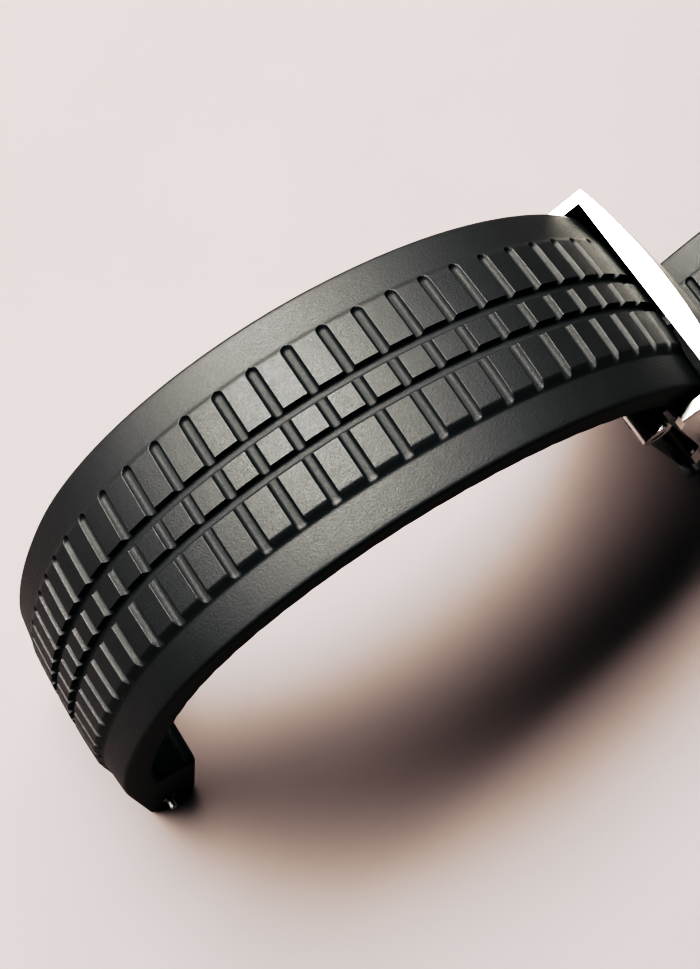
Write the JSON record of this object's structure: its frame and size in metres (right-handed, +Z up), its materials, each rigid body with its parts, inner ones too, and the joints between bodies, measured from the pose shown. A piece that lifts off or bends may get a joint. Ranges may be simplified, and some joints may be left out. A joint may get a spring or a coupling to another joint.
{
  "type": "silicone watch strap",
  "caption": "Two-piece silicone watch strap with a block tread, spring bars at its lug ends and a folding clasp with push buttons.",
  "frame": {"origin": "bottom centre of the whole strap's box, as it stands on a table", "axes": "+Z up; +X along the strap from the long half's lug end to the short half's; Y across the strap"},
  "size_m": [0.1452, 0.025, 0.0524],
  "materials": {
    "silicone": "matt, fine grain",
    "polished_steel": "polished",
    "blade_steel": "fine brushed",
    "pin_steel": "turned",
    "spring_steel": "drawn wire"
  },
  "bodies": {
    "clasp": {"clasp_cover": "polished_steel", "hinge_pin_cover": "pin_steel", "button_spring_far": "spring_steel", "button_spring_near": "spring_steel"},
    "long_half": {"strap_long": "silicone", "lug_bar_long_tube": "pin_steel", "lug_bar_long_spring": "spring_steel", "clasp_bar_long_tube": "pin_steel", "clasp_bar_long_spring": "spring_steel"},
    "middle_blade": {"blade_middle": "blade_steel"},
    "lower_blade": {"blade_lower": "blade_steel", "hinge_pin_blades": "pin_steel"},
    "short_half": {"strap_short": "silicone", "lug_bar_short_tube": "pin_steel", "lug_bar_short_spring": "spring_steel", "clasp_bar_short_tube": "pin_steel", "clasp_bar_short_spring": "spring_steel"},
    "far_button": {"button_far": "polished_steel"},
    "near_button": {"button_near": "polished_steel"},
    "lug_bar_long_far_end": {"lug_bar_long_tip_far": "pin_steel"},
    "lug_bar_long_near_end": {"lug_bar_long_tip_near": "pin_steel"},
    "clasp_bar_long_far_end": {"clasp_bar_long_tip_far": "pin_steel"},
    "clasp_bar_long_near_end": {"clasp_bar_long_tip_near": "pin_steel"},
    "lug_bar_short_far_end": {"lug_bar_short_tip_far": "pin_steel"},
    "lug_bar_short_near_end": {"lug_bar_short_tip_near": "pin_steel"},
    "clasp_bar_short_far_end": {"clasp_bar_short_tip_far": "pin_steel"},
    "clasp_bar_short_near_end": {"clasp_bar_short_tip_near": "pin_steel"}
  },
  "joints": [
    {"name": "long_half_pivot", "type": "hinge", "parent": "clasp", "child": "long_half", "pos_m": [-0.00833, 0, 0.02997], "axis": [0, 1, 0], "range_deg": [-3, 3.5]},
    {"name": "middle_blade_fold", "type": "hinge", "parent": "clasp", "child": "middle_blade", "pos_m": [-0.00274, 0, 0.0078], "axis": [0, -1, 0], "range_deg": [0, 170]},
    {"name": "lower_blade_fold", "type": "hinge", "parent": "middle_blade", "child": "lower_blade", "pos_m": [-0.0142, 0, 0.03307], "axis": [0, 1, 0], "range_deg": [0, 170]},
    {"name": "short_half_pivot", "type": "hinge", "parent": "lower_blade", "child": "short_half", "pos_m": [0.00114, 0, 0.00244], "axis": [0, 1, 0], "range_deg": [-3, 120]},
    {"name": "far_button_press", "type": "slide", "parent": "clasp", "child": "far_button", "axis": [0, -1, 0], "range_m": [0, 0.0008], "stiffness_N_per_m": 600, "springref_m": -0.002, "deforming": ["button_spring_far"]},
    {"name": "near_button_press", "type": "slide", "parent": "clasp", "child": "near_button", "axis": [0, 1, 0], "range_m": [0, 0.0008], "stiffness_N_per_m": 600, "springref_m": -0.002, "deforming": ["button_spring_near"]},
    {"name": "lug_bar_long_far_press", "type": "slide", "parent": "long_half", "child": "lug_bar_long_far_end", "axis": [0, -1, 0], "range_m": [0, 0.0012], "stiffness_N_per_m": 400, "springref_m": -0.002, "deforming": ["lug_bar_long_spring"]},
    {"name": "lug_bar_long_near_press", "type": "slide", "parent": "long_half", "child": "lug_bar_long_near_end", "axis": [0, 1, 0], "range_m": [0, 0.0012], "stiffness_N_per_m": 400, "springref_m": -0.002, "deforming": ["lug_bar_long_spring"]},
    {"name": "clasp_bar_long_far_press", "type": "slide", "parent": "long_half", "child": "clasp_bar_long_far_end", "axis": [0, -1, 0], "range_m": [0, 0.0012], "stiffness_N_per_m": 400, "springref_m": -0.002, "deforming": ["clasp_bar_long_spring"]},
    {"name": "clasp_bar_long_near_press", "type": "slide", "parent": "long_half", "child": "clasp_bar_long_near_end", "axis": [0, 1, 0], "range_m": [0, 0.0012], "stiffness_N_per_m": 400, "springref_m": -0.002, "deforming": ["clasp_bar_long_spring"]},
    {"name": "lug_bar_short_far_press", "type": "slide", "parent": "short_half", "child": "lug_bar_short_far_end", "axis": [0, -1, 0], "range_m": [0, 0.0012], "stiffness_N_per_m": 400, "springref_m": -0.002, "deforming": ["lug_bar_short_spring"]},
    {"name": "lug_bar_short_near_press", "type": "slide", "parent": "short_half", "child": "lug_bar_short_near_end", "axis": [0, 1, 0], "range_m": [0, 0.0012], "stiffness_N_per_m": 400, "springref_m": -0.002, "deforming": ["lug_bar_short_spring"]},
    {"name": "clasp_bar_short_far_press", "type": "slide", "parent": "short_half", "child": "clasp_bar_short_far_end", "axis": [0, -1, 0], "range_m": [0, 0.0012], "stiffness_N_per_m": 400, "springref_m": -0.002, "deforming": ["clasp_bar_short_spring"]},
    {"name": "clasp_bar_short_near_press", "type": "slide", "parent": "short_half", "child": "clasp_bar_short_near_end", "axis": [0, 1, 0], "range_m": [0, 0.0012], "stiffness_N_per_m": 400, "springref_m": -0.002, "deforming": ["clasp_bar_short_spring"]}
  ],
  "couplings": [
    {"joint": "lower_blade_fold", "follows": "middle_blade_fold", "ratio": 1}
  ]
}
